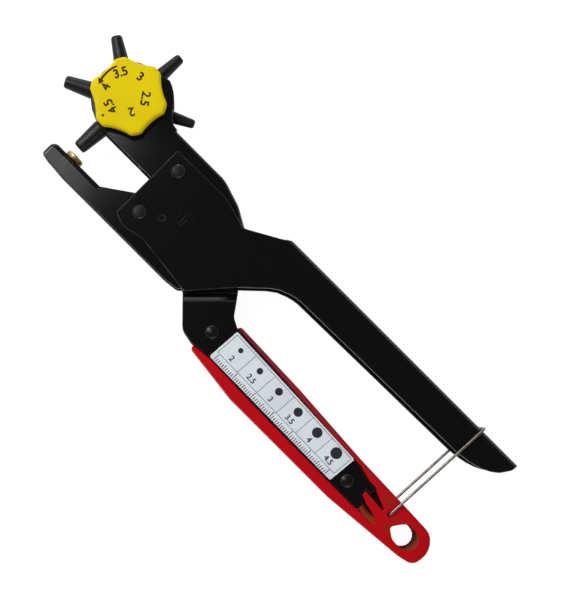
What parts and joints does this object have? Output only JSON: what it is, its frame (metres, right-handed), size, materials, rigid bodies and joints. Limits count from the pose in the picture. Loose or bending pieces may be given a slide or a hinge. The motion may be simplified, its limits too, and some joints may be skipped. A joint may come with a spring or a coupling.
{
  "type": "revolving punch pliers",
  "caption": "Hand pliers with a turning turret of hollow punches, a compound lever, a waste box on the turret and a wire bail that holds the handles shut.",
  "frame": {"origin": "middle of the rear head of the lever's pivot rivet, on the plane that the pliers lie on", "axes": "+X from the handles to the head, +Y from the turret to the anvil, +Z towards the side with the waste box"},
  "size_m": [0.225, 0.0789, 0.0249],
  "materials": {
    "black_paint": "satin black paint",
    "black_steel": "blackened steel",
    "bright_steel": "plain steel",
    "brass": "turned brass",
    "red_plastic": "red moulded plastic",
    "yellow_plastic": "bright yellow moulded plastic"
  },
  "bodies": {
    "upper_handle": {"upper_handle": "black_paint", "anvil_jaw": "black_paint", "anvil": "brass", "lever_pivot_rivet": "black_paint", "jaw_pivot_rivet": "black_paint", "lever_pivot_bush": "bright_steel", "jaw_pivot_bush": "bright_steel", "anvil_jaw_key_front": "black_steel", "anvil_jaw_key_rear": "black_steel", "spring_stop_pin": "black_steel", "return_spring": "bright_steel"},
    "lower_lever": {"lever_strap_front": "black_paint", "lever_strap_rear": "black_paint", "grip": "red_plastic", "grip_rivet_upper": "black_paint", "grip_rivet_lower": "black_paint", "drive_pin": "bright_steel", "spring_pin": "bright_steel"},
    "turret_jaw": {"turret_jaw": "black_paint", "index_ball": "bright_steel", "index_spring": "bright_steel", "index_rivet": "black_steel"},
    "turret": {"turret_wheel": "black_steel", "turret_axle": "bright_steel", "turret_ring": "bright_steel", "punch_2": "black_steel", "punch_2_5": "black_steel", "punch_3": "black_steel", "punch_3_5": "black_steel", "punch_4": "black_steel", "punch_4_5": "black_steel"},
    "waste_box": {"waste_box": "yellow_plastic"},
    "latch_bail": {"latch_bail": "bright_steel"}
  },
  "joints": [
    {"name": "lever_squeeze", "type": "hinge", "parent": "upper_handle", "child": "lower_lever", "pos_m": [0, 0, 0.0105], "axis": [0, 0, 1], "range_deg": [0, 5.8], "stiffness_Nm_per_rad": 0.8, "springref_deg": -28.65, "deforming": ["return_spring"]},
    {"name": "jaw_swing", "type": "hinge", "parent": "upper_handle", "child": "turret_jaw", "pos_m": [0.0005, -0.021, 0.0105], "axis": [0, 0, 1], "range_deg": [0, 4.35]},
    {"name": "turret_spin", "type": "hinge", "parent": "turret_jaw", "child": "turret", "pos_m": [0.033, -0.0274, 0.0105], "axis": [0, 0, 1], "continuous": true},
    {"name": "waste_box_pull", "type": "slide", "parent": "turret", "child": "waste_box", "axis": [0, 0, 1], "range_m": [0, 0.012]},
    {"name": "bail_swing", "type": "hinge", "parent": "lower_lever", "child": "latch_bail", "pos_m": [-0.1465, 0.014, 0.0105], "axis": [0, 0, 1], "range_deg": [-84.1, 0]}
  ],
  "couplings": [
    {"joint": "jaw_swing", "follows": "lever_squeeze", "ratio": 0.75},
    {"joint": "bail_swing", "follows": "lever_squeeze", "ratio": -14.5}
  ]
}
